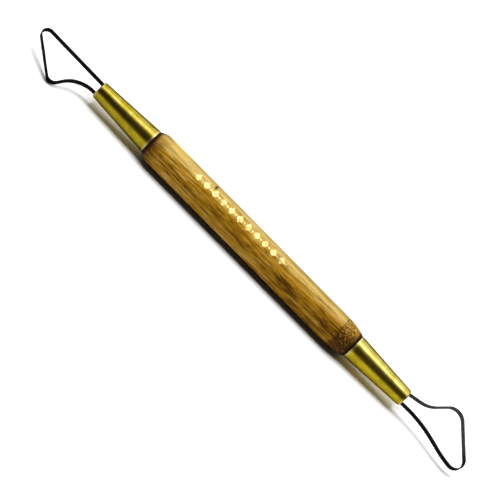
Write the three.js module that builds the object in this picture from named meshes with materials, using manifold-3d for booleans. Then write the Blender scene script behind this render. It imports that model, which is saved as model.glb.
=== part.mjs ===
// Double-ended ribbon tool for trimming clay, in millimetres.
// A turned hardwood handle has a tapered tenon at each end. A bent steel ribbon lies with its two
// legs in grooves along each tenon, and a tapered brass ferrule is driven over both, so that the
// legs splay with the taper and can't pull out.
// The tool lies on a table at z = 0, as it comes to rest: the handle on the table, rolled until the
// corner of loop a touches it too. X runs along the handle towards end b, and the origin is on the
// table under the middle of the handle.

import * as THREE from 'three';
import { mergeVertices } from 'three/addons/utils/BufferGeometryUtils.js';
import Module from 'manifold-3d';

// Handle
const HANDLE_LENGTH = 95.6;
const HANDLE_RADIUS = 5.95;
const HANDLE_END_RADIUS = 4.98;
const END_EDGE_ROUND = 0.5;
const SHOULDER_A_LENGTH = 3.4;
const SHOULDER_B_LENGTH = 6.6;
const SHOULDER_B_SWELL = 0.25;
const TOOL_LINE_WIDTH = 0.7;
const TOOL_LINE_DEPTH = 0.12;

// Ferrules
const FERRULE_LENGTH = 24.8;
const FERRULE_MOUTH_RADIUS = 3.3;
const FERRULE_BASE_RADIUS = 4.75;
const FERRULE_WALL = 0.5;
const BASE_CHAMFER = 0.22;
const LIP_A_LENGTH = 0.6;
const LIP_B_LENGTH = 1.6;
const LIP_DROP = 0.22;

// Tenons and fits
const TENON_RECESS = 1.2;
const TENON_CHAMFER = 0.4;
const FIT = 0.15;

// Ribbons
const RIBBON_WIDTH = 2.2;
const RIBBON_THICKNESS = 0.45;
const LEG_DEPTH = 16;
const MOUTH_BEND = 6;

// Loop a, from the mouth of its ferrule outwards and to the side: a long triangle with a sharp tip
const A_TIP_REACH = 31.5;
const A_TIP_SIDE = 2.7;
const A_TIP_BEND = 2.2;
const A_CORNER_REACH = 12.5;
const A_CORNER_SIDE = 12.4;
const A_CORNER_BEND = 2.5;
const A_WAIST_REACH = 7.2;
const A_WAIST_BEND = 10.6;

// Loop b, measured the same way: a rounder triangle with one long, slightly bowed side
const B_CORNER_REACH = 16.5;
const B_CORNER_SIDE = 13.2;
const B_CORNER_BEND = 4.6;
const B_WAIST_REACH = 7.9;
const B_WAIST_SIDE = 3.8;
const B_WAIST_BEND = 9.8;
const B_TIP_REACH = 34.6;
const B_TIP_SIDE = 7.4;
const B_TIP_BEND = 3.4;
const B_BOW_REACH = 22;
const B_BOW_SIDE = 5.65;
const B_BOW_BEND = 30;
const B_HEEL_REACH = 8.9;
const B_HEEL_SIDE = 1.85;
const B_HEEL_BEND = 44;

// Facets round turned pieces, and along bends
const TURNED_SIDES = 64;
const BEND_STEP = Math.PI / 26;

// Sizes that follow from those above
const endFaceX = HANDLE_LENGTH / 2;
const mouthX = endFaceX + FIT + FERRULE_LENGTH;
const taper = (FERRULE_BASE_RADIUS - FERRULE_MOUTH_RADIUS) / FERRULE_LENGTH;
const boreRadius = (depth) => FERRULE_MOUTH_RADIUS - FERRULE_WALL + taper * depth;
const tenonRadius = (depth) => boreRadius(depth) - FIT;

// Middle of a leg's thickness at a depth in the ferrule, where the leg's corners just clear the bore
const legSide = (depth) => Math.sqrt(tenonRadius(depth) ** 2 - (RIBBON_WIDTH / 2) ** 2) - RIBBON_THICKNESS / 2;

const wood = new THREE.MeshStandardMaterial({ color: 0xa87a2c, roughness: 0.5, metalness: 0 });
const brass = new THREE.MeshStandardMaterial({ color: 0xd0b43c, roughness: 0.22, metalness: 1 });
const steel = new THREE.MeshStandardMaterial({ color: 0x3a3b3d, roughness: 0.38, metalness: 1 });

const wasm = await Module();
wasm.setup();

function toSolid(geometry) {
  const bare = geometry.clone();
  bare.deleteAttribute('normal');
  bare.deleteAttribute('uv');
  const merged = mergeVertices(bare);
  const vertProperties = new Float32Array(merged.attributes.position.array);
  const triVerts = new Uint32Array(merged.index.array);
  return new wasm.Manifold(new wasm.Mesh({ numProp: 3, vertProperties, triVerts }));
}

function toGeometry(solid) {
  const mesh = solid.getMesh();
  const geometry = new THREE.BufferGeometry();
  geometry.setAttribute('position', new THREE.BufferAttribute(mesh.vertProperties, 3));
  geometry.setIndex(new THREE.BufferAttribute(mesh.triVerts, 1));
  geometry.computeVertexNormals();
  return geometry;
}

// Turns a profile of radius against place along X, with one facet square to the angle given
function turned(profile, facetAngle = 0) {
  const start = facetAngle + Math.PI / TURNED_SIDES;
  return new THREE.LatheGeometry(profile, TURNED_SIDES, start).rotateZ(-Math.PI / 2);
}

// A strip of ribbon on edge, along corners of [x, y, bend radius], with its width along Z
function bentRibbon(corners) {
  const points = corners.map(([x, y]) => new THREE.Vector2(x, y));
  const half = RIBBON_THICKNESS / 2;
  const left = [];
  const right = [];
  const addStation = (at, normal) => {
    left.push(at.clone().addScaledVector(normal, half));
    right.unshift(at.clone().addScaledVector(normal, -half));
  };
  const heading = (i) => points[i + 1].clone().sub(points[i]).normalize();
  const leftOf = (d) => new THREE.Vector2(-d.y, d.x);
  addStation(points[0], leftOf(heading(0)));
  for (let i = 1; i < points.length - 1; i += 1) {
    const into = heading(i - 1);
    const turn = Math.atan2(into.cross(heading(i)), into.dot(heading(i)));
    const radius = corners[i][2];
    const start = points[i].clone().addScaledVector(into, -radius * Math.tan(Math.abs(turn) / 2));
    const centre = start.clone().addScaledVector(leftOf(into), Math.sign(turn) * radius);
    const steps = Math.ceil(Math.abs(turn) / BEND_STEP);
    for (let k = 0; k <= steps; k += 1) {
      const normal = leftOf(into).rotateAround(new THREE.Vector2(), (turn * k) / steps);
      addStation(centre.clone().addScaledVector(normal, -Math.sign(turn) * radius), normal);
    }
  }
  addStation(points.at(-1), leftOf(heading(points.length - 2)));
  const strip = new THREE.Shape([...left, ...right]);
  const geometry = new THREE.ExtrudeGeometry(strip, { depth: RIBBON_WIDTH, bevelEnabled: false });
  return { geometry: geometry.translate(0, 0, -RIBBON_WIDTH / 2), outline: strip.getPoints() };
}

// Both loops start and end deep in the ferrule, on the two sides of the tenon
function loop(corners) {
  const legIn = [-LEG_DEPTH, legSide(LEG_DEPTH)];
  const mouthIn = [0, legSide(0), MOUTH_BEND];
  const mouthOut = [0, -legSide(0), MOUTH_BEND];
  const legOut = [-LEG_DEPTH, -legSide(LEG_DEPTH)];
  return bentRibbon([legIn, mouthIn, ...corners, mouthOut, legOut]);
}

const loopA = loop([
  [A_WAIST_REACH, legSide(0), A_WAIST_BEND],
  [A_CORNER_REACH, A_CORNER_SIDE, A_CORNER_BEND],
  [A_TIP_REACH, -A_TIP_SIDE, A_TIP_BEND],
]);

const loopB = loop([
  [B_WAIST_REACH, B_WAIST_SIDE, B_WAIST_BEND],
  [B_CORNER_REACH, B_CORNER_SIDE, B_CORNER_BEND],
  [B_TIP_REACH, -B_TIP_SIDE, B_TIP_BEND],
  [B_BOW_REACH, -B_BOW_SIDE, B_BOW_BEND],
  [B_HEEL_REACH, -B_HEEL_SIDE, B_HEEL_BEND],
]);

// The tool rolls until the lower edge of loop a's corner comes down to the table
const restHeight = HANDLE_RADIUS * Math.cos(Math.PI / TURNED_SIDES);
const cornerSide = Math.max(...loopA.outline.map((p) => p.y));
const cornerDistance = Math.hypot(cornerSide, RIBBON_WIDTH / 2);
const roll = Math.asin(restHeight / cornerDistance) - Math.atan2(RIBBON_WIDTH / 2, cornerSide);

// Tapered tube with its mouth at x = 0 and its base towards the handle
function ferrule(lipLength) {
  const outer = (depth) => FERRULE_MOUTH_RADIUS + taper * depth;
  const lipRadius = outer(0) - LIP_DROP;
  const profile = new THREE.Path();
  profile.moveTo(boreRadius(FERRULE_LENGTH), -FERRULE_LENGTH);
  profile.lineTo(outer(FERRULE_LENGTH) - BASE_CHAMFER, -FERRULE_LENGTH);
  profile.lineTo(outer(FERRULE_LENGTH - BASE_CHAMFER), -FERRULE_LENGTH + BASE_CHAMFER);
  profile.lineTo(outer(lipLength), -lipLength);
  profile.quadraticCurveTo(outer(0), -lipLength * 0.25, lipRadius, 0);
  profile.lineTo(boreRadius(0), 0);
  profile.closePath();
  return turned(profile.getPoints(4));
}

// Space for one leg along the tenon, open at the tenon's tip and on its outside
function legGroove(side) {
  const floor = (depth) => legSide(depth) - RIBBON_THICKNESS / 2 - FIT;
  const beyond = FERRULE_BASE_RADIUS;
  const slope = (floor(LEG_DEPTH) - floor(0)) / LEG_DEPTH;
  const inner = LEG_DEPTH + FIT;
  const cut = new THREE.Shape();
  cut.moveTo(0, floor(0));
  cut.lineTo(0, beyond);
  cut.lineTo(-inner, beyond);
  cut.lineTo(-inner, floor(0) + slope * inner);
  cut.closePath();
  const width = RIBBON_WIDTH + 2 * FIT;
  const geometry = new THREE.ExtrudeGeometry(cut, { depth: width, bevelEnabled: false });
  geometry.translate(0, 0, -width / 2);
  return side > 0 ? geometry : geometry.rotateX(Math.PI);
}

// Handle with both tenons, from the tip of tenon a to the tip of tenon b
function handle() {
  const tipX = mouthX - TENON_RECESS;
  const tipRadius = tenonRadius(TENON_RECESS);
  const rootRadius = tenonRadius(FERRULE_LENGTH + FIT);
  const edgeRadius = HANDLE_END_RADIUS - END_EDGE_ROUND;
  const edgeX = endFaceX - END_EDGE_ROUND;
  const lineX = endFaceX - SHOULDER_B_LENGTH;
  const profile = new THREE.Path();
  profile.moveTo(0, -tipX);
  profile.lineTo(tipRadius - TENON_CHAMFER, -tipX);
  profile.lineTo(tipRadius, -tipX + TENON_CHAMFER);
  profile.lineTo(rootRadius, -endFaceX);
  profile.lineTo(edgeRadius, -endFaceX);
  profile.quadraticCurveTo(HANDLE_END_RADIUS, -endFaceX, HANDLE_END_RADIUS, -edgeX);
  const shoulderAX = endFaceX - SHOULDER_A_LENGTH;
  profile.quadraticCurveTo(HANDLE_RADIUS, -(edgeX + shoulderAX) / 2, HANDLE_RADIUS, -shoulderAX);
  profile.lineTo(HANDLE_RADIUS, lineX - TOOL_LINE_WIDTH);
  profile.lineTo(HANDLE_RADIUS - TOOL_LINE_DEPTH, lineX - TOOL_LINE_WIDTH / 2);
  profile.lineTo(HANDLE_RADIUS, lineX);
  const taperMiddle = (HANDLE_RADIUS + HANDLE_END_RADIUS) / 2 + SHOULDER_B_SWELL;
  profile.quadraticCurveTo(taperMiddle, (lineX + edgeX) / 2, HANDLE_END_RADIUS, edgeX);
  profile.quadraticCurveTo(HANDLE_END_RADIUS, endFaceX, edgeRadius, endFaceX);
  profile.lineTo(rootRadius, endFaceX);
  profile.lineTo(tipRadius, tipX - TENON_CHAMFER);
  profile.lineTo(tipRadius - TENON_CHAMFER, tipX);
  profile.lineTo(0, tipX);

  // One facet faces straight down once the tool is rolled
  let solid = toSolid(turned(profile.getPoints(6), Math.PI - roll));
  for (const side of [1, -1]) {
    solid = solid.subtract(toSolid(legGroove(side).translate(mouthX, 0, 0)));
    solid = solid.subtract(toSolid(legGroove(side).translate(mouthX, 0, 0).rotateZ(Math.PI)));
  }
  return toGeometry(solid);
}

function named(name, geometry, material) {
  const mesh = new THREE.Mesh(geometry, material);
  mesh.name = name;
  return mesh;
}

const endA = new THREE.Group();
endA.add(named('ferrule_a', ferrule(LIP_A_LENGTH), brass));
endA.add(named('ribbon_loop_a', loopA.geometry, steel));
endA.position.x = -mouthX;
endA.rotation.z = Math.PI;

const endB = new THREE.Group();
endB.add(named('ferrule_b', ferrule(LIP_B_LENGTH), brass));
endB.add(named('ribbon_loop_b', loopB.geometry, steel));
endB.position.x = mouthX;

const group = new THREE.Group();
group.add(named('handle', handle(), wood), endA, endB);
group.rotation.x = roll;
group.position.z = restHeight;

export default group;
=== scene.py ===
import math

import bmesh
import bpy
from mathutils import Matrix, Vector


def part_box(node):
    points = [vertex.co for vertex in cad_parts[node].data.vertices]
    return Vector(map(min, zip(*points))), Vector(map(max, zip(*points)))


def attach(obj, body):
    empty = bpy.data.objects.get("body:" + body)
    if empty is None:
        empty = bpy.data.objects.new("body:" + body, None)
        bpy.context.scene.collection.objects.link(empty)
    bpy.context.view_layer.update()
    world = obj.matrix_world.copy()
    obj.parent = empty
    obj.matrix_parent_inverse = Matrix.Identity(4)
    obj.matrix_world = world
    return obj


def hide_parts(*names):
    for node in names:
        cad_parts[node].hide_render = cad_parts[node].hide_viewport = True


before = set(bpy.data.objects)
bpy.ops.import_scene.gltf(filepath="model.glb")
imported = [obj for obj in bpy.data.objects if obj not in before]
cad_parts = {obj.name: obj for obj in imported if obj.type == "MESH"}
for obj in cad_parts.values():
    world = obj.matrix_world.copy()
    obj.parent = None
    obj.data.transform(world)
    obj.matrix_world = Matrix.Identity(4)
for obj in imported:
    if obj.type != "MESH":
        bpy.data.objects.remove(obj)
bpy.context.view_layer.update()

# Sizes of the tool in millimetres, as the frame has them. The grip lies on the table, so the tool's axis is one
# grip radius up, and the tool is rolled about that axis
MM = 0.001
AXIS_HEIGHT = sum(corner.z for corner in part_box("handle")) / 2 / MM
ROLL = math.radians(26.06)
HANDLE_LENGTH = 95.6
HANDLE_RADIUS = AXIS_HEIGHT
HANDLE_END_RADIUS = 4.98
END_EDGE_ROUND = 0.5
SHOULDER_A_LENGTH = 3.4
SHOULDER_B_LENGTH = 6.6
SHOULDER_B_SWELL = 0.25
TOOL_LINE_WIDTH = 0.7
TOOL_LINE_DEPTH = 0.12
FERRULE_LENGTH = 24.8
FERRULE_MOUTH_RADIUS = 3.3
FERRULE_BASE_RADIUS = 4.75
FERRULE_WALL = 0.5
BASE_CHAMFER = 0.22
BASE_CHAMFER_LENGTH = BASE_CHAMFER * 1.6
BORE_ROUND = 0.12
LIP_A_LENGTH = 0.6
LIP_B_LENGTH = 1.6
LIP_DROP = 0.22
TENON_RECESS = 1.2
TENON_CHAMFER = 0.4
FIT = 0.15
RIBBON_WIDTH = 2.2
RIBBON_THICKNESS = 0.45
RIBBON_EDGE_ROUND = 0.07
LEG_DEPTH = 16.0
MOUTH_BEND = 6.0

# Each leg groove ends in a short wall, over which the tenon grows a little thicker
GROOVE_WALL_LENGTH = 0.1
GROOVE_WALL_RISE = 0.01

# Corners of the two loops: reach beyond the mouth, place to the side, bend radius. None stands for the place to
# the side that the leg has at the mouth
LOOP_A = [(7.2, None, 10.6), (12.5, 12.4, 2.5), (31.5, -2.7, 2.2)]
LOOP_B = [(7.9, 3.8, 9.8), (16.5, 13.2, 4.6), (34.6, -7.4, 3.4), (22.0, -5.65, 30.0), (8.9, -1.85, 44.0)]

END_FACE = HANDLE_LENGTH / 2
SHOULDER_B_START = END_FACE - SHOULDER_B_LENGTH
MOUTH = END_FACE + FIT + FERRULE_LENGTH
TAPER = (FERRULE_BASE_RADIUS - FERRULE_MOUTH_RADIUS) / FERRULE_LENGTH

# How finely meshes are made. Vertices nearer than MERGE_DISTANCE become one. Edges bent more sharply than
# SHARP_ANGLE are shaded as edges, and on a ribbon those bent more than STRIP_CORNER_ANGLE are eased
TURNED_STEPS = 192
BEND_STEP = math.radians(3)
MERGE_DISTANCE = 0.0001
SHARP_ANGLE = math.radians(35)
STRIP_CORNER_ANGLE = math.radians(60)
TOLERANCE = 0.01

# From the tool's own frame, in millimetres with X along its axis, to where it lies
LIE = Matrix.Translation((0, 0, AXIS_HEIGHT * MM)) @ Matrix.Rotation(ROLL, 4, "X") @ Matrix.Scale(MM, 4)


# Radii and places inside a ferrule, at a depth below its mouth
def bore_radius(depth):
    return FERRULE_MOUTH_RADIUS - FERRULE_WALL + TAPER * depth


def tenon_radius(depth):
    return bore_radius(depth) - FIT


def leg_side(depth):
    return math.sqrt(tenon_radius(depth) ** 2 - (RIBBON_WIDTH / 2) ** 2) - RIBBON_THICKNESS / 2


# Meshes
def new_piece(name, mesh, place, material):
    """Makes a piece of a mesh in millimetres, moved by its place in the tool's frame to where the tool lies."""
    bmesh.ops.remove_doubles(mesh, verts=mesh.verts, dist=MERGE_DISTANCE)
    bmesh.ops.recalc_face_normals(mesh, faces=mesh.faces)
    bmesh.ops.transform(mesh, matrix=LIE @ place, verts=mesh.verts)
    for face in mesh.faces:
        face.smooth = True
    data = bpy.data.meshes.new(name)
    mesh.to_mesh(data)
    mesh.free()
    data.set_sharp_from_angle(angle=SHARP_ANGLE)
    piece = bpy.data.objects.new(name, data)
    bpy.context.scene.collection.objects.link(piece)
    data.materials.append(material)
    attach(piece, "root")
    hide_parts(name.removesuffix("_skin"))


def curve(start, control, end, steps=10):
    """Points of a quadratic curve, without its first."""
    a, b, c = Vector(start), Vector(control), Vector(end)
    return [a.lerp(b, k / steps).lerp(b.lerp(c, k / steps), k / steps) for k in range(1, steps + 1)]


def turned(profile):
    """A profile of (radius, place along X), spun about X."""
    mesh = bmesh.new()
    ring = [mesh.verts.new((x, 0, r)) for r, x in profile]
    edges = [mesh.edges.new(pair) for pair in zip(ring, ring[1:])]
    bmesh.ops.spin(mesh, geom=ring + edges, cent=(0, 0, 0), axis=(1, 0, 0), angle=math.tau, steps=TURNED_STEPS,
                   use_merge=True)
    bmesh.ops.remove_doubles(mesh, verts=mesh.verts, dist=MERGE_DISTANCE)
    return mesh


def handle_profile():
    """The handle from the tip of tenon a to the tip of tenon b."""
    tip, root = MOUTH - TENON_RECESS, tenon_radius(FERRULE_LENGTH + FIT)
    tip_radius = tenon_radius(TENON_RECESS)
    edge_radius, edge_x = HANDLE_END_RADIUS - END_EDGE_ROUND, END_FACE - END_EDGE_ROUND
    shoulder_a = END_FACE - SHOULDER_A_LENGTH
    groove_end = MOUTH - LEG_DEPTH - FIT
    groove_radius = tenon_radius(LEG_DEPTH + FIT)
    wall_radius, wall_x = groove_radius + GROOVE_WALL_RISE, groove_end - GROOVE_WALL_LENGTH
    taper_middle = (HANDLE_RADIUS + HANDLE_END_RADIUS) / 2 + SHOULDER_B_SWELL
    points = [(0, -tip), (tip_radius - TENON_CHAMFER, -tip), (tip_radius, -tip + TENON_CHAMFER)]
    points += [(groove_radius, -groove_end), (wall_radius, -wall_x), (root, -END_FACE), (edge_radius, -END_FACE)]
    points += curve(points[-1], (HANDLE_END_RADIUS, -END_FACE), (HANDLE_END_RADIUS, -edge_x))
    points += curve(points[-1], (HANDLE_RADIUS, -(edge_x + shoulder_a) / 2), (HANDLE_RADIUS, -shoulder_a))
    points += [(HANDLE_RADIUS, SHOULDER_B_START - TOOL_LINE_WIDTH)]
    points += curve(points[-1], (HANDLE_RADIUS - 2 * TOOL_LINE_DEPTH, SHOULDER_B_START - TOOL_LINE_WIDTH / 2),
                    (HANDLE_RADIUS, SHOULDER_B_START), 6)
    points += curve(points[-1], (taper_middle, (SHOULDER_B_START + edge_x) / 2), (HANDLE_END_RADIUS, edge_x))
    points += curve(points[-1], (HANDLE_END_RADIUS, END_FACE), (edge_radius, END_FACE))
    points += [(root, END_FACE), (wall_radius, wall_x), (groove_radius, groove_end)]
    points += [(tip_radius, tip - TENON_CHAMFER), (tip_radius - TENON_CHAMFER, tip), (0, tip)]
    return points


def handle_mesh():
    """The turned handle, with a groove pressed into both sides of each tenon for the ribbon's legs."""
    mesh = turned(handle_profile())
    for vert in mesh.verts:
        depth = MOUTH - abs(vert.co.x)
        if depth < LEG_DEPTH + FIT + TOLERANCE and abs(vert.co.z) < RIBBON_WIDTH / 2 + FIT:
            groove_floor = leg_side(depth) - RIBBON_THICKNESS / 2 - FIT
            vert.co.y = math.copysign(min(abs(vert.co.y), groove_floor), vert.co.y)
    return mesh


def ferrule_mesh(lip_length):
    """A tapered tube from its base, at X = -FERRULE_LENGTH, to its turned-in lip at X = 0."""
    mouth, lip, chamfer, base = [FERRULE_MOUTH_RADIUS + TAPER * depth for depth in
                                 (0, lip_length, FERRULE_LENGTH - BASE_CHAMFER, FERRULE_LENGTH)]
    points = [(bore_radius(FERRULE_LENGTH), -FERRULE_LENGTH), (base - BASE_CHAMFER, -FERRULE_LENGTH)]
    points += curve(points[-1], (base, -FERRULE_LENGTH), (chamfer, -FERRULE_LENGTH + BASE_CHAMFER_LENGTH), 5)
    points += [(lip, -lip_length)]
    points += curve(points[-1], (mouth, -lip_length / 4), (mouth - LIP_DROP, 0), 8)
    points += curve(points[-1], (bore_radius(0), 0), (bore_radius(0), -BORE_ROUND), 4)
    points += [points[0]]
    return turned(points)


def bent_path(corners, aside):
    """Points along straight stretches with a round bend at each inner corner of (x, y, bend radius), moved to
    the left of the way they run."""
    spots = [Vector(corner[:2]) for corner in corners]
    heading = [(end - start).normalized() for start, end in zip(spots, spots[1:])]
    left = [Vector((-way.y, way.x)) for way in heading]
    path = [spots[0] + left[0] * aside]
    for spot, (_, _, radius), into, out, port in zip(spots[1:], corners[1:-1], heading, heading[1:], left):
        turn = math.atan2(into.cross(out), into.dot(out))
        start = spot - into * radius * math.tan(abs(turn) / 2)
        centre = start + port * math.copysign(radius, turn)
        steps = math.ceil(abs(turn) / BEND_STEP)
        first = start + port * aside - centre
        path += [centre + Matrix.Rotation(turn * k / steps, 2) @ first for k in range(steps + 1)]
    return path + [spots[-1] + left[-1] * aside]


def ribbon_mesh(corners):
    """A steel strip on edge along its bent path, with its edges eased."""
    leg = [(-LEG_DEPTH, leg_side(LEG_DEPTH)), (0, leg_side(0), MOUTH_BEND)]
    loop = [(x, leg_side(0) if y is None else y, bend) for x, y, bend in corners]
    back = [(0, -leg_side(0), MOUTH_BEND), (-LEG_DEPTH, -leg_side(LEG_DEPTH))]
    mesh = bmesh.new()
    rails = []
    for aside in (-RIBBON_THICKNESS / 2, RIBBON_THICKNESS / 2):
        rail = [mesh.verts.new((*point, -RIBBON_WIDTH / 2)) for point in bent_path(leg + loop + back, aside)]
        rails += [mesh.edges.new(pair) for pair in zip(rail, rail[1:])]
    edge_face = bmesh.ops.bridge_loops(mesh, edges=rails)["faces"]
    raised = bmesh.ops.extrude_face_region(mesh, geom=edge_face)["geom"]
    tops = [part for part in raised if isinstance(part, bmesh.types.BMVert)]
    bmesh.ops.translate(mesh, verts=tops, vec=(0, 0, RIBBON_WIDTH))
    strip_corners = [edge for edge in mesh.edges if edge.calc_face_angle(0) > STRIP_CORNER_ANGLE]
    bmesh.ops.bevel(mesh, geom=strip_corners, offset=RIBBON_EDGE_ROUND, segments=2, affect="EDGES", profile=0.5,
                    material=-1)
    return mesh


# Shader arithmetic
class Value:
    """A shader socket. Arithmetic on it adds Math nodes, and node() adds any other node to its tree."""

    def __init__(self, tree, socket=None):
        self.tree = tree
        self.socket = socket

    def node(self, kind, links=None, out=0, stops=None, **settings):
        """Adds a node: its settings first, then the values or links of its inputs. Returns one of its outputs."""
        node = self.tree.nodes.new(kind)
        for name, value in settings.items():
            setattr(node, name, value)
        if stops:
            elements = node.color_ramp.elements
            while len(elements) < len(stops):
                elements.new(1.0)
            for element, (place, colour) in zip(elements, stops):
                element.position = place
                element.color = (*colour, 1.0)
        for name, value in (links or {}).items():
            if isinstance(value, Value):
                self.tree.links.new(value.socket, node.inputs[name])
            else:
                node.inputs[name].default_value = value
        return Value(self.tree, node.outputs[out]) if node.outputs else None

    def math(self, operation, *values, clamp=False):
        return self.node("ShaderNodeMath", dict(enumerate(values)), operation=operation, use_clamp=clamp)

    def __add__(self, other):
        return self.math("ADD", self, other)

    def __sub__(self, other):
        return self.math("SUBTRACT", self, other)

    def __rsub__(self, other):
        return self.math("SUBTRACT", other, self)

    def __mul__(self, other):
        return self.math("MULTIPLY", self, other)

    def __truediv__(self, other):
        return self.math("DIVIDE", self, other)

    __radd__ = __add__
    __rmul__ = __mul__

    def abs(self):
        return self.math("ABSOLUTE", self)

    def clamp(self):
        return self.math("ADD", self, 0.0, clamp=True)

    def step(self, low, high):
        """0 below low, 1 above high, smooth between."""
        return self.node("ShaderNodeMapRange", {"Value": self, "From Min": low, "From Max": high}, clamp=True,
                         interpolation_type="SMOOTHSTEP")


def mix(factor, first, second):
    """The first colour where factor is 0, the second where it is 1."""
    host = next(value for value in (factor, first, second) if isinstance(value, Value))
    colours = [value if isinstance(value, Value) else (*value, 1.0) for value in (first, second)]
    return host.node("ShaderNodeMix", {0: factor, 6: colours[0], 7: colours[1]}, 2, data_type="RGBA")


def new_material(name):
    material = bpy.data.materials.new(name)
    material.use_nodes = True
    tree = material.node_tree
    tree.nodes.clear()
    return material, tree


def tool_coordinates(tree):
    """Object coordinates turned back into the tool's own frame, in millimetres."""
    position = Value(tree).node("ShaderNodeTexCoord", out="Object")
    return position.node("ShaderNodeMapping", {"Vector": position, "Location": LIE.inverted().translation,
                                               "Rotation": (-ROLL, 0, 0), "Scale": (1 / MM,) * 3})


def noise(place, scale, detail, roughness, offset=(0, 0, 0), distortion=0.0):
    """Noise with about as many features per millimetre as the scale says, for each axis."""
    stretched = place.node("ShaderNodeMapping", {"Vector": place, "Scale": scale, "Location": offset})
    return place.node("ShaderNodeTexNoise", {"Vector": stretched, "Scale": 1.0, "Detail": detail,
                                             "Roughness": roughness, "Distortion": distortion})


def axes_of(place):
    return [place.node("ShaderNodeSeparateXYZ", {0: place}, out) for out in range(3)]


def surface(tree, links, bump=None, relief=0.0):
    """The material's one Principled shader, with its bump."""
    if bump is not None:
        links["Normal"] = bump.node("ShaderNodeBump", {"Height": bump, "Distance": relief, "Strength": 1.0})
    shader = Value(tree).node("ShaderNodeBsdfPrincipled", links)
    shader.node("ShaderNodeOutputMaterial", {"Surface": shader})


# Colours of the finishes
WOOD_DARK = (0.12, 0.042, 0.002)
WOOD_MID = (0.46, 0.212, 0.009)
WOOD_TAN = (0.70, 0.355, 0.010)
WOOD_LIGHT = (0.90, 0.62, 0.19)
WOOD_FLECK = (0.86, 0.55, 0.08)
# Painted light on the grip: a paler band as a painted highlight, and a duller colour as painted shade beyond it,
# along its top edge
WOOD_SHEEN = (0.90, 0.80, 0.34)
WOOD_EDGE_SHADE = (0.32, 0.29, 0.14)
WOOD_PATCH = (0.95, 0.66, 0.16)
WOOD_STAIN = (0.10, 0.030, 0.003)
END_GRAIN_DARK = (0.045, 0.015, 0.005)
END_GRAIN_MID = (0.30, 0.13, 0.012)
END_GRAIN_LIGHT = (0.75, 0.45, 0.06)
# Near black, for the tool line and the bruise, and as painted shade at the handle's rounded ends
DARK_MARK_AND_END_SHADE = (0.030, 0.010, 0.003)
GILT = (0.95, 0.84, 0.34)
# Brass and tarnished brass each in two tones: yellower below as a painted reflection, paler and bluer above as a
# painted highlight
BRASS_REFLECTION_TINT, BRASS_HIGHLIGHT_TINT = (0.51, 0.390, 0.015), (0.44, 0.362, 0.100)
TARNISH_REFLECTION_TINT, TARNISH_HIGHLIGHT_TINT = (0.32, 0.240, 0.014), (0.26, 0.202, 0.015)
BRASS_SPOT = (0.16, 0.105, 0.006)
# Pale colour for a painted glint at the ferrules' base and mouth
BRASS_RIM_GLINT = (0.80, 0.72, 0.36)
BRASS_SHEEN = (0.5, 0.5, 0.4, 1.0)
# The paler steel is both bare steel and painted sheen
STEEL_DARK, STEEL_BARE_AND_SHEEN = (0.004, 0.004, 0.005), (0.14, 0.14, 0.145)
STEEL_SHEEN = (0.5, 0.5, 0.5, 1.0)

# Height of each finish's bump, in metres
WOOD_RELIEF = 0.04 * MM
BRASS_RELIEF = 0.0015 * MM
STEEL_RELIEF = 0.01 * MM

# The grip's best side is turned by SIDE_TURN from square to the loops' plane. On it is the row of gilt lozenges:
# where it begins and ends along X, its place across, and the spacing and half sizes of its lozenges, in millimetres
SIDE_TURN = math.radians(27.94)
GILT_START, GILT_END = -30.1, 12.8
GILT_ACROSS = -3.0
GILT_PITCH = 3.9
GILT_LONG, GILT_WIDE = 1.55, 1.5

# A small dark bruise in the wood above the row: its place along X and across, and its half sizes
BRUISE_X, BRUISE_ACROSS = -21.6, -4.7
BRUISE_LONG, BRUISE_WIDE = 0.5, 0.85

# Each pair from here on is where a finish starts to change and where it has changed, in millimetres.
# Across the grip, whose upper side is negative:
PALE_AND_LIT_SIDE = (-4.5, 0.0)
SHADED_EDGE_SIDE = (-5.6, -4.3)
STAIN_SIDE = (-3.5, -0.5)
END_GRAIN_SIDE = (-3.5, 1.5)
BRASS_HIGHLIGHT_SIDE = (-1.6, 0.6)

# Along the tool from its middle, some of them to both sides:
FAR_END = (-10.0, 40.0)
DULLER_FERRULE = (-10.0, 10.0)
# Painted shade at both ends of the handle:
SHADED_END = (END_FACE - 2.2, END_FACE - 0.4)
SHOULDER_B = (SHOULDER_B_START - 0.2, SHOULDER_B_START + 0.2)
BASE_RIM = (END_FACE + 0.7, END_FACE + 1.2)
MOUTH_RIM = (MOUTH - 0.8, MOUTH - 0.4)
LOOP_B_SIDE = (0.0, 1.0)

# Along the tool from the handle's end at ferrule a:
STAIN_REACH = (0.0, 7.0)
PATCH_START, PATCH_END = (3.0, 7.0), (10.0, 16.0)

# Out from the axis towards the grip's best side:
FRONT = (-3.0, 1.0)
BEST_SIDE = (0.0, 0.5)

# Out from the axis towards the middle of a band painted paler as a highlight, turned away from the best side by the
# angle below:
SHEEN_TURN = math.radians(40)
SHEEN_BAND = (HANDLE_RADIUS * 0.93, HANDLE_RADIUS * 0.985)

# Out from the middle of the dark heart band, which wanders by HEART_WANDER, and of the tool line:
HEART_ACROSS, HEART_WANDER = 2.7, 2.4
HEART_EDGE = (0.2, 3.0)
LINE_EDGE = (0.1, 0.6)

# To the side in the loops' plane, on the ribbons, where the steel is barer and painted with sheen:
SHEEN_STEEL_SIDE = (-1.5, 2.5)

# Soft edges on the grip's best side: a lozenge's in half sizes, the bruise's in half sizes squared, and a dot's in
# square millimetres
LOZENGE_EDGE = (0.75, 1.05)
BRUISE_EDGE = (0.3, 1.3)
DOT_EDGE = (0.06, 0.16)


def across_grip(y, z):
    """Millimetres to the side of the axis, with the grip's best side turned up."""
    return y * -math.cos(SIDE_TURN) - z * math.sin(SIDE_TURN)


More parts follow.
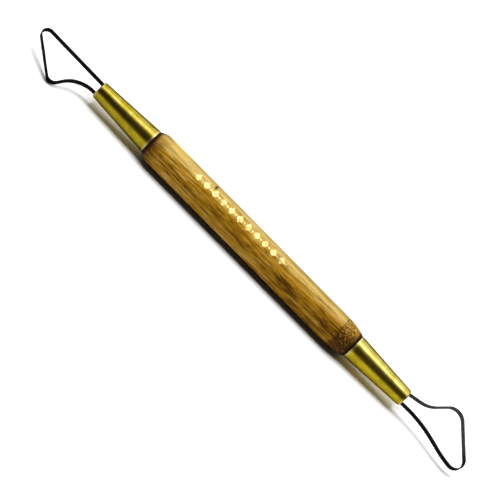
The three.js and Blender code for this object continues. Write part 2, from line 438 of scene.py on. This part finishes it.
def gilt_row(along, across, facing):
    """1 on a row of lozenges with a dot between each two, 0 elsewhere."""
    place = along.math("FRACT", (along - GILT_START) / GILT_PITCH)
    from_lozenge = (place - 0.5).abs() * GILT_PITCH
    from_dot = GILT_PITCH / 2 - from_lozenge
    aside = (across - GILT_ACROSS).abs()
    lozenge = 1.0 - (from_lozenge / GILT_LONG + aside / GILT_WIDE).step(*LOZENGE_EDGE)
    dot = 1.0 - (from_dot * from_dot + aside * aside).step(*DOT_EDGE)
    within = along.step(GILT_START - TOLERANCE, GILT_START) * (1.0 - along.step(GILT_END, GILT_END + TOLERANCE))
    return (lozenge + dot).clamp() * within * facing.step(*BEST_SIDE)


def hardwood():
    """Long wavy streaks with a darker band down one side and a paler side opposite, both partly painted light, a
    painted highlight band with painted shade beyond it, short dashes, speckled end grain on shoulder b, a dark
    stain at the other end, and painted shade at both ends."""
    material, tree = new_material("oiled_hardwood")
    place = tool_coordinates(tree)
    x, y, z = axes_of(place)
    across = across_grip(y, z)
    facing = z * math.cos(SIDE_TURN) - y * math.sin(SIDE_TURN)

    # Grain: a dark heart band wanders along the lower side, and the upper side is paler. Both are partly painted
    # light: painted shade along the lower side, painted light along the upper side
    streaks = noise(place, (0.065, 1.1, 1.1), 5.0, 0.66, distortion=0.6)
    blotches = noise(place, (0.20, 0.85, 0.85), 3.0, 0.6, (6, 1, 2), 0.3)
    fibres = noise(place, (0.30, 5.0, 5.0), 2.0, 0.6, (0, 5, 2))
    wander = noise(place, (0.035, 0.30, 0.30), 2.0, 0.5, (3, 1, 7))
    heart = 1.0 - (across + wander * HEART_WANDER - HEART_ACROSS).abs().step(*HEART_EDGE)
    front = facing.step(*FRONT)
    pale_and_lit_side = (1.0 - across.step(*PALE_AND_LIT_SIDE)) * front
    far_end = x.step(*FAR_END) * (1.0 - pale_and_lit_side * 0.45)
    tone = streaks * 0.85 + blotches * 0.30 + fibres * 0.20
    tone = tone - heart * (1.0 - far_end * 0.8) * 0.05 + pale_and_lit_side * 0.07 - far_end * 0.075 - 0.168
    colour = tone.node("ShaderNodeValToRGB", {"Fac": tone}, stops=[
        (0.35, WOOD_DARK), (0.44, WOOD_MID), (0.52, WOOD_TAN), (0.62, WOOD_LIGHT)])
    dashes = noise(place, (0.24, 3.0, 3.0), 3.0, 0.65, (9, 2, 4)).step(0.55, 0.68)
    flecks = noise(place, (0.26, 2.6, 2.6), 3.0, 0.65, (4, 8, 1)).step(0.55, 0.70)
    pores = noise(place, (0.9, 6.5, 6.5), 1.0, 0.5, (2, 9, 6)).step(0.58, 0.68)
    colour = mix((dashes * 0.6 + pores * 0.35).clamp(), colour, WOOD_DARK)
    colour = mix(flecks * 0.5, colour, WOOD_FLECK)

    # A painted highlight: a slightly paler band along the grip, above the gilt row. Beyond it, painted shade makes
    # the wood duller
    outwards = facing * math.cos(SHEEN_TURN) - across * math.sin(SHEEN_TURN)
    sheen_and_wear = outwards.step(*SHEEN_BAND)
    colour = mix((sheen_and_wear * blotches * 0.36).clamp(), colour, WOOD_SHEEN)
    colour = mix((1.0 - across.step(*SHADED_EDGE_SIDE)) * front * 0.55, colour, WOOD_EDGE_SHADE)

    # Speckled end grain on shoulder b
    speckle = noise(place, (1.1, 1.5, 1.5), 4.0, 0.75, (5, 5, 1))
    end_grain = speckle.node("ShaderNodeValToRGB", {"Fac": speckle - across.step(*END_GRAIN_SIDE) * 0.09}, stops=[
        (0.40, END_GRAIN_DARK), (0.50, END_GRAIN_MID), (0.60, END_GRAIN_LIGHT)])
    shoulder = x.step(*SHOULDER_B)
    colour = mix(shoulder * 0.9, colour, end_grain)

    # Beside ferrule a the wood is stained dark, least along its upper side, which is pale a little further on
    from_a = x + END_FACE
    pale_patch = from_a.step(*PATCH_START) * (1.0 - from_a.step(*PATCH_END)) * pale_and_lit_side
    colour = mix(pale_patch * 0.5, colour, WOOD_PATCH)
    stain = (1.0 - from_a.step(*STAIN_REACH)) * (across.step(*STAIN_SIDE) * 0.6 + 0.27) * (speckle + 0.5)
    colour = mix(stain.clamp(), colour, WOOD_STAIN)

    # Nearly black: painted shade at both rounded ends, where the wood turns in beside the ferrules, and the dark
    # tool line and bruise
    end_shade = x.abs().step(*SHADED_END)
    line = 1.0 - (x - (SHOULDER_B_START - TOOL_LINE_WIDTH / 2)).abs().step(*LINE_EDGE)
    ahead, aside = (x - BRUISE_X) / BRUISE_LONG, (across - BRUISE_ACROSS) / BRUISE_WIDE
    bruise = (1.0 - (ahead * ahead + aside * aside).step(*BRUISE_EDGE)) * facing.step(*BEST_SIDE)
    colour = mix((end_shade * end_shade + line * 0.5 + bruise * 0.85).clamp(), colour, DARK_MARK_AND_END_SHADE)

    wear = noise(place, (1.2, 1.6, 1.6), 4.0, 0.7, (1, 6, 3)).step(0.38, 0.56)
    gilt = gilt_row(x, across, facing) * (wear * 0.75 + 0.15) * (1.0 - bruise)
    colour = mix(gilt, colour, GILT)
    height = fibres * 0.5 - dashes * 0.4 - pores * 0.4 + speckle * shoulder - gilt * 0.5
    surface(tree, {"Base Color": colour, "Roughness": 0.42 + fibres * 0.2 - gilt * 0.1, "Metallic": gilt,
                   "IOR": 1.5, "Specular IOR Level": 0.05}, height, WOOD_RELIEF)
    return material


def polished_brass():
    """Drawn brass, duller on ferrule a and where it is tarnished, with dark spots, and with painted light: a
    painted glint at its base and mouth, a paler, bluer top side as a painted highlight and a yellower lower side as
    a painted reflection.
    """
    material, tree = new_material("polished_brass")
    place = tool_coordinates(tree)
    x, y, z = axes_of(place)
    drawn = noise(place, (0.25, 5.0, 5.0), 3.0, 0.6)
    marks = noise(place, (2.5, 1.2, 1.2), 3.0, 0.6, (7, 3, 1))
    tarnish = noise(place, (0.30, 0.45, 0.45), 3.0, 0.55, (2, 8, 5))
    dull = (tarnish.step(0.36, 0.66) * 0.6 + (1.0 - x.step(*DULLER_FERRULE)) * 0.5).clamp()
    # Lit and shaded copies of the brass: painted highlight on the top side, painted reflection on the lower side
    upper = 1.0 - across_grip(y, z).step(*BRASS_HIGHLIGHT_SIDE)
    colour = mix(dull, mix(upper, BRASS_REFLECTION_TINT, BRASS_HIGHLIGHT_TINT), mix(upper, TARNISH_REFLECTION_TINT, TARNISH_HIGHLIGHT_TINT))
    spots = noise(place, (0.8, 1.3, 1.3), 3.0, 0.6, (3, 6, 9)).step(0.50, 0.70)
    colour = mix(spots * 0.35, colour, BRASS_SPOT)
    # A painted glint at the base and at the mouth, which are also a little rougher
    depth = x.abs()
    rim_glint = (1.0 - depth.step(*BASE_RIM) + depth.step(*MOUTH_RIM)).clamp()
    colour = mix(rim_glint * 0.35, colour, BRASS_RIM_GLINT)
    roughness = 0.22 + marks * 0.12 + tarnish * 0.06 + rim_glint * 0.1
    surface(tree, {"Base Color": colour, "Roughness": roughness, "Metallic": 1.0, "Specular Tint": BRASS_SHEEN},
            drawn, BRASS_RELIEF)
    return material


def ribbon_steel():
    """Dark spring steel, paler on the +Y side of loop b, which faces the lamps: barer steel there, with painted
    sheen.
    """
    material, tree = new_material("ribbon_steel")
    place = tool_coordinates(tree)
    x, y, _ = axes_of(place)
    scale_marks = noise(place, (1.3, 1.3, 2.5), 4.0, 0.7)
    fine = noise(place, (7.0, 7.0, 7.0), 2.0, 0.6, (4, 4, 4))
    # Painted sheen, with barer steel, on the side of loop b that faces the lamps
    sheen_and_wear = y.step(*SHEEN_STEEL_SIDE) * x.step(*LOOP_B_SIDE)
    bare = (scale_marks * 0.5 + fine * 0.5).step(0.42, 0.60)
    colour = mix(sheen_and_wear * (0.14 + bare * 0.50) + bare * 0.08, STEEL_DARK, STEEL_BARE_AND_SHEEN)
    surface(tree, {"Base Color": colour, "Roughness": 0.42 + scale_marks * 0.2, "Metallic": 1.0,
                   "Specular Tint": STEEL_SHEEN}, fine, STEEL_RELIEF)
    return material


# Stage, in metres. The floor takes shadows as far as FLOOR_SHADED from the tool's middle, and from there to twice
# as far it fades to plain white
FLOOR_HALF = 2.5
FLOOR_SHADED = 0.15

# The floor's colour as it lights the tool, as the brass mirrors it, as the camera sees it, and for light left out
FLOOR_WHITE = (0.9, 0.9, 0.9)
FLOOR_MIRRORED = (1.1, 1.1, 1.1)
FLOOR_SEEN = (1.5, 1.5, 1.5)
FLOOR_UNLIT = (0.0, 0.0, 0.0)
FLOOR_CORNERS = [(-FLOOR_HALF, -FLOOR_HALF, 0), (FLOOR_HALF, -FLOOR_HALF, 0),
                 (FLOOR_HALF, FLOOR_HALF, 0), (-FLOOR_HALF, FLOOR_HALF, 0)]

# Diffuse Depth counts in whole numbers the matt surfaces that a ray has met. From two on, the floor is unlit
MATT_LIMIT = (1.4, 1.6)

# The dark card gives the brass its dark stripe
CARD_CORNERS = [(-1.5, -0.25, 0.9), (1.5, -0.25, 0.9), (1.5, -1.2, 0.0), (-1.5, -1.2, 0.0)]
CARD_COLOUR = (0.035, 0.016, 0.006, 1.0)
CARD_ROUGHNESS = 0.9

# Lamps, which all face the origin: name, place, length and width, power in watts
LAMPS = [("overhead", (0, 0.037, 0.8), (1.0, 0.355), 5.265),
         ("behind", (0, 0.516, 0.737), (1.0, 0.655), 3.4375),
         ("low_behind", (0, 0.795, 0.4225), (1.6, 0.567), 1.6965)]
WORLD_STRENGTH = 0.04

# Camera, and what the photo shows: its size and the middle of the handle in pixels, the size of a pixel at the
# handle in metres, and how steeply the handle runs down
CAMERA_DISTANCE = 0.6
CAMERA_LEAN = math.radians(54)
SENSOR_WIDTH = 36
CLIP_START = 0.01
PHOTO_SIZE = 500
HANDLE_MIDDLE = (252.18, 243.99)
PIXEL = 0.3348 * MM
HANDLE_SLOPE = math.radians(45.33)


def floor_material():
    """White floor that takes the tool's shadow. Further out, where no shadow falls, it is seen as plain white."""
    material, tree = new_material("white_floor")
    rays = ("Is Camera Ray", "Is Glossy Ray", "Is Transmission Ray", "Diffuse Depth")
    seen, mirrored, through, matt_meetings = [Value(tree).node("ShaderNodeLightPath", out=ray) for ray in rays]
    # The wood's shadow is nearly black in the photo, so light that goes from the floor to the wood and back to the
    # floor is left out. Light that the brass throws on the floor stays
    white = mix(matt_meetings.step(*MATT_LIMIT), FLOOR_WHITE, FLOOR_UNLIT)
    white = mix((mirrored + through).clamp(), white, FLOOR_MIRRORED)
    white = mix(seen, white, FLOOR_SEEN)
    x, y, _ = axes_of(Value(tree).node("ShaderNodeTexCoord", out="Object"))
    far = (x * x + y * y).step(FLOOR_SHADED ** 2, (2 * FLOOR_SHADED) ** 2)
    diffuse = white.node("ShaderNodeBsdfDiffuse", {"Color": white})
    plain = white.node("ShaderNodeEmission", {"Color": (1, 1, 1, 1), "Strength": 1.0})
    shader = white.node("ShaderNodeMixShader", {0: far * (seen + mirrored + through).clamp(), 1: diffuse, 2: plain})
    shader.node("ShaderNodeOutputMaterial", {"Surface": shader})
    return material


def card_material():
    material, tree = new_material("dark_card")
    surface(tree, {"Base Color": CARD_COLOUR, "Roughness": CARD_ROUGHNESS})
    return material


def stage_plane(name, corners, material):
    mesh = bmesh.new()
    mesh.faces.new([mesh.verts.new(corner) for corner in corners])
    data = bpy.data.meshes.new(name)
    mesh.to_mesh(data)
    mesh.free()
    data.materials.append(material)
    plane = bpy.data.objects.new(name, data)
    bpy.context.scene.collection.objects.link(plane)
    return plane


def add_lamp(name, place, size, power):
    data = bpy.data.lights.new(name, "AREA")
    data.shape = "RECTANGLE"
    data.size, data.size_y = size
    data.energy = power
    lamp = bpy.data.objects.new(name, data)
    lamp.location = place
    lamp.rotation_euler = Vector(place).to_track_quat("Z", "Y").to_euler()
    bpy.context.scene.collection.objects.link(lamp)


def add_world():
    world = bpy.data.worlds.new("studio")
    bpy.context.scene.world = world
    world.use_nodes = True
    background = world.node_tree.nodes["Background"].inputs
    background["Color"].default_value = (1, 1, 1, 1)
    background["Strength"].default_value = WORLD_STRENGTH


def add_camera():
    """The camera leans towards -Y, and is turned so that the handle runs down to the right."""
    middle_right, middle_up = HANDLE_MIDDLE[0] - PHOTO_SIZE / 2, PHOTO_SIZE / 2 - HANDLE_MIDDLE[1]
    away = Vector((0, -math.sin(CAMERA_LEAN), math.cos(CAMERA_LEAN)))
    along = Vector((1, 0, 0))
    down = Vector((0, -math.cos(CAMERA_LEAN), -math.sin(CAMERA_LEAN)))
    right = along * math.cos(HANDLE_SLOPE) - down * math.sin(HANDLE_SLOPE)
    up = -along * math.sin(HANDLE_SLOPE) - down * math.cos(HANDLE_SLOPE)
    data = bpy.data.cameras.new("camera")
    data.sensor_width = SENSOR_WIDTH
    data.lens = SENSOR_WIDTH * CAMERA_DISTANCE / (PHOTO_SIZE * PIXEL)
    data.clip_start = CLIP_START
    camera = bpy.data.objects.new("camera", data)
    middle = Vector((0, 0, AXIS_HEIGHT * MM)) - (right * middle_right + up * middle_up) * PIXEL
    turn = Matrix((right, up, away)).transposed().to_4x4()
    camera.matrix_world = Matrix.Translation(middle + away * CAMERA_DISTANCE) @ turn
    bpy.context.scene.collection.objects.link(camera)
    bpy.context.scene.camera = camera


stage_plane("floor", FLOOR_CORNERS, floor_material())
card = stage_plane("dark_card", CARD_CORNERS, card_material())
card.visible_camera = False
for lamp in LAMPS:
    add_lamp(*lamp)
add_world()
add_camera()
bpy.context.scene.view_settings.view_transform = "Standard"

# A loop and its ferrule are made with the ferrule's mouth at X = 0, and put at either end
END_A = Matrix.Rotation(math.pi, 4, "Z") @ Matrix.Translation((MOUTH, 0, 0))
END_B = Matrix.Translation((MOUTH, 0, 0))
brass, steel = polished_brass(), ribbon_steel()
new_piece("handle_skin", handle_mesh(), Matrix.Identity(4), hardwood())
new_piece("ferrule_a_skin", ferrule_mesh(LIP_A_LENGTH), END_A, brass)
new_piece("ferrule_b_skin", ferrule_mesh(LIP_B_LENGTH), END_B, brass)
new_piece("ribbon_loop_a_skin", ribbon_mesh(LOOP_A), END_A, steel)
new_piece("ribbon_loop_b_skin", ribbon_mesh(LOOP_B), END_B, steel)
